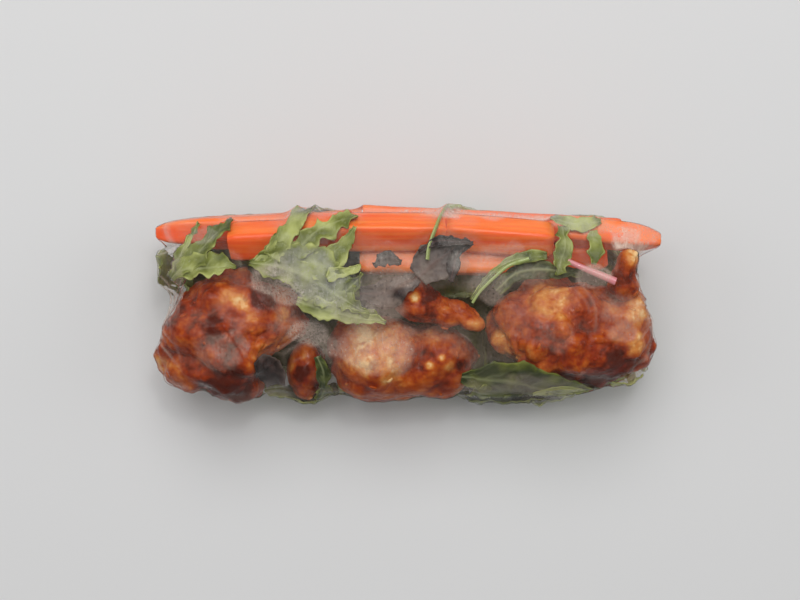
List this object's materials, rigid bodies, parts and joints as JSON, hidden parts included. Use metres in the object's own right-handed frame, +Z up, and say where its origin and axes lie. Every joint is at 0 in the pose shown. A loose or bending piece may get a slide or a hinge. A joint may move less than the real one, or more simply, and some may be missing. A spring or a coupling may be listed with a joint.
{
  "type": "rice paper roll",
  "caption": "Fresh roll of translucent rice paper drawn tight over carrot batons, salad leaves and glazed battered chicken pieces, with tucked-in ends.",
  "frame": {"origin": "centre of the bounding box's base, on the surface the roll rests on", "axes": "+X along the roll, +Y towards its carrot side, +Z up; the chicken is on the -Y side"},
  "size_m": [0.1418, 0.0576, 0.0392],
  "materials": {
    "rice_paper": "moist translucent film, clear where it clings to a filling and milky elsewhere",
    "carrot": "wet, freshly cut",
    "chicken": "battered, fried and coated in a sticky glaze",
    "leaves": "soft crinkled salad leaves"
  },
  "bodies": {
    "root": {"rice_paper": "rice_paper", "salad_leaves": "leaves", "carrot_left_tip": "carrot", "carrot_upper_left": "carrot", "carrot_top_middle": "carrot", "carrot_back_long": "carrot", "carrot_top_right": "carrot", "carrot_inner": "carrot", "carrot_short": "carrot", "carrot_right_tip": "carrot", "carrot_low_back": "carrot", "chicken_left": "chicken", "chicken_nugget": "chicken", "chicken_middle": "chicken", "chicken_shard": "chicken", "chicken_right": "chicken", "chicken_finger": "chicken"}
  },
  "joints": []
}
